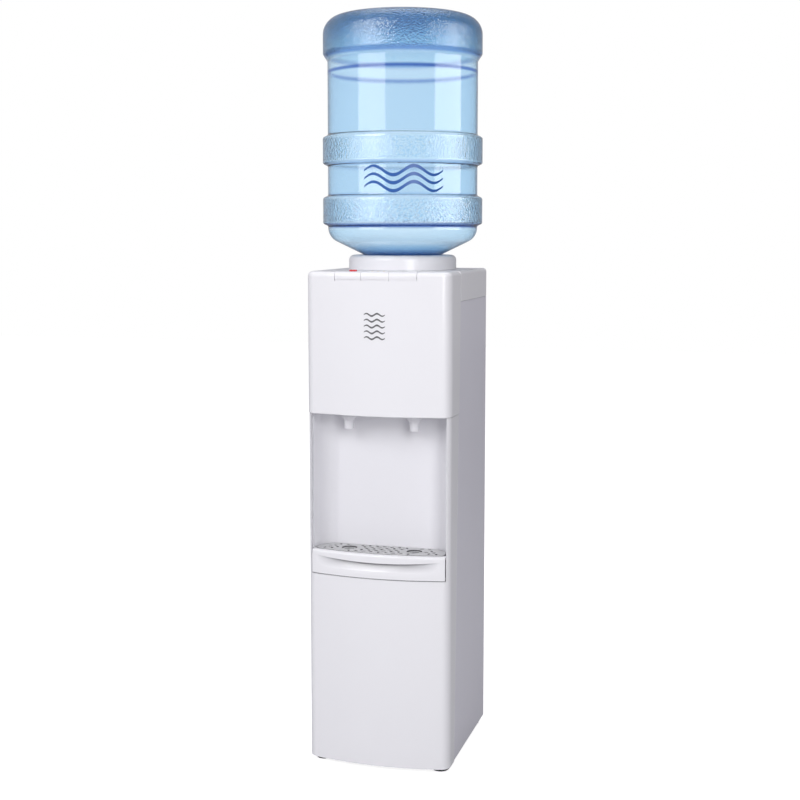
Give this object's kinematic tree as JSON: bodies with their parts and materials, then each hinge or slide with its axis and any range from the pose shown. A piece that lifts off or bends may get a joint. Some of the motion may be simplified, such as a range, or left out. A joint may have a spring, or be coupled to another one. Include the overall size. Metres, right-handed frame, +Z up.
{
  "type": "bottled water dispenser",
  "caption": "Slim floor-standing top-loading water dispenser: bowed front, recess with hot and cold outlets, sliding drip tray, push buttons and an inverted blue bottle in its collar.",
  "frame": {"origin": "on the floor, at the centre of the plan box of the cabinet with its bottle", "axes": "+X to the right as seen from the front, +Y to the back (the front faces -Y), +Z up along the bottle axis"},
  "size_m": [0.275, 0.3069, 1.267],
  "materials": {
    "white_plastic": "glossy moulded plastic",
    "liner_plastic": "satin moulded plastic",
    "white_steel": "powder coated sheet steel",
    "zinc_steel": "galvanised sheet",
    "grille_grey": "metallic grey moulding",
    "black_rubber": "matt",
    "bottle_blue": "clear blue polycarbonate",
    "cap_blue": "moulded",
    "lock_red": "moulded",
    "lens_amber": "translucent lens",
    "stainless": "drawn stainless steel",
    "copper": "copper tube",
    "foam": "expanded foam",
    "silicone": "translucent white hose",
    "black_paint": "black enamel",
    "black_plastic": "fine texture",
    "rocker_red": "moulded",
    "rocker_green": "moulded",
    "bright_steel": "plated",
    "board_green": "solder mask",
    "white_matt": "moulded"
  },
  "bodies": {
    "cabinet": {"base_pan": "zinc_steel", "feet": "black_rubber", "lower_front_panel": "white_plastic", "upper_front_panel": "white_plastic", "alcove_liner": "liner_plastic", "side_panel_left": "white_steel", "side_panel_right": "white_steel", "rear_panel": "white_steel", "rear_screws": "bright_steel", "top_cover": "white_plastic", "indicator_block": "white_plastic", "indicator_lenses": "lens_amber", "hot_nozzle": "liner_plastic", "cold_nozzle": "liner_plastic", "hot_valve": "white_matt", "cold_valve": "white_matt", "hot_spring": "bright_steel", "cold_spring": "bright_steel", "cold_tank": "stainless", "cold_tank_lid": "white_matt", "baffle": "white_matt", "evaporator_coil": "copper", "insulation_front": "foam", "insulation_rear": "foam", "hot_tank": "stainless", "transfer_tube": "silicone", "hot_jacket": "foam", "band_heater": "stainless", "thermostats": "black_plastic", "cold_hose": "silicone", "hot_hose": "silicone", "drain_hose": "silicone", "drain_outlet": "white_matt", "compressor": "black_paint", "grommets": "black_rubber", "relay_box": "black_plastic", "suction_line": "copper", "discharge_line": "copper", "condenser": "black_paint", "condenser_wires": "black_paint", "drier": "copper", "switch_plate": "white_matt", "cord_gland": "black_plastic", "control_box": "white_matt", "control_board": "board_green"},
    "hot_button": {"hot_button": "white_plastic"},
    "cold_button": {"cold_button": "white_plastic"},
    "child_lock": {"child_lock": "lock_red"},
    "hot_plunger": {"hot_plunger": "white_matt"},
    "cold_plunger": {"cold_plunger": "white_matt"},
    "drip_tray": {"drip_tray": "white_plastic"},
    "grille": {"grille": "grille_grey"},
    "bottle_collar": {"bottle_collar": "white_plastic", "probe": "white_matt"},
    "bottle": {"bottle": "bottle_blue", "bottle_cap": "cap_blue"},
    "hot_switch": {"hot_switch": "rocker_red"},
    "cold_switch": {"cold_switch": "rocker_green"},
    "drain_cap": {"drain_cap": "white_matt"}
  },
  "joints": [
    {"name": "hot_button_press", "type": "slide", "parent": "cabinet", "child": "hot_button", "axis": [0, 0, -1], "range_m": [0, 0.0025], "stiffness_N_per_m": 500, "springref_m": -0.003},
    {"name": "hot_valve_open", "type": "slide", "parent": "cabinet", "child": "hot_plunger", "axis": [0, 0, -1], "range_m": [0, 0.0025], "stiffness_N_per_m": 500, "springref_m": -0.003, "deforming": ["hot_spring"]},
    {"name": "cold_button_press", "type": "slide", "parent": "cabinet", "child": "cold_button", "axis": [0, 0, -1], "range_m": [0, 0.0025], "stiffness_N_per_m": 500, "springref_m": -0.003},
    {"name": "cold_valve_open", "type": "slide", "parent": "cabinet", "child": "cold_plunger", "axis": [0, 0, -1], "range_m": [0, 0.0025], "stiffness_N_per_m": 500, "springref_m": -0.003, "deforming": ["cold_spring"]},
    {"name": "child_lock_slide", "type": "slide", "parent": "hot_button", "child": "child_lock", "axis": [1, 0, 0], "range_m": [0, 0.005]},
    {"name": "drip_tray_slide", "type": "slide", "parent": "cabinet", "child": "drip_tray", "axis": [0, -1, 0], "range_m": [0, 0.1]},
    {"name": "grille_lift", "type": "slide", "parent": "drip_tray", "child": "grille", "axis": [0, 0, 1], "range_m": [0, 0.04]},
    {"name": "collar_lift", "type": "slide", "parent": "cabinet", "child": "bottle_collar", "axis": [0, 0, 1], "range_m": [0, 0.06]},
    {"name": "bottle_lift", "type": "slide", "parent": "bottle_collar", "child": "bottle", "axis": [0, 0, 1], "range_m": [0, 0.12]},
    {"name": "hot_switch_rock", "type": "hinge", "parent": "cabinet", "child": "hot_switch", "pos_m": [-0.088, 0.1067, 0.735], "axis": [1, 0, 0], "range_deg": [0, 14]},
    {"name": "cold_switch_rock", "type": "hinge", "parent": "cabinet", "child": "cold_switch", "pos_m": [-0.06, 0.1067, 0.735], "axis": [1, 0, 0], "range_deg": [0, 14]},
    {"name": "drain_cap_off", "type": "slide", "parent": "cabinet", "child": "drain_cap", "axis": [0, 1, 0], "range_m": [0, 0.02]}
  ],
  "couplings": [
    {"joint": "hot_valve_open", "follows": "hot_button_press", "ratio": 1},
    {"joint": "cold_valve_open", "follows": "cold_button_press", "ratio": 1}
  ]
}
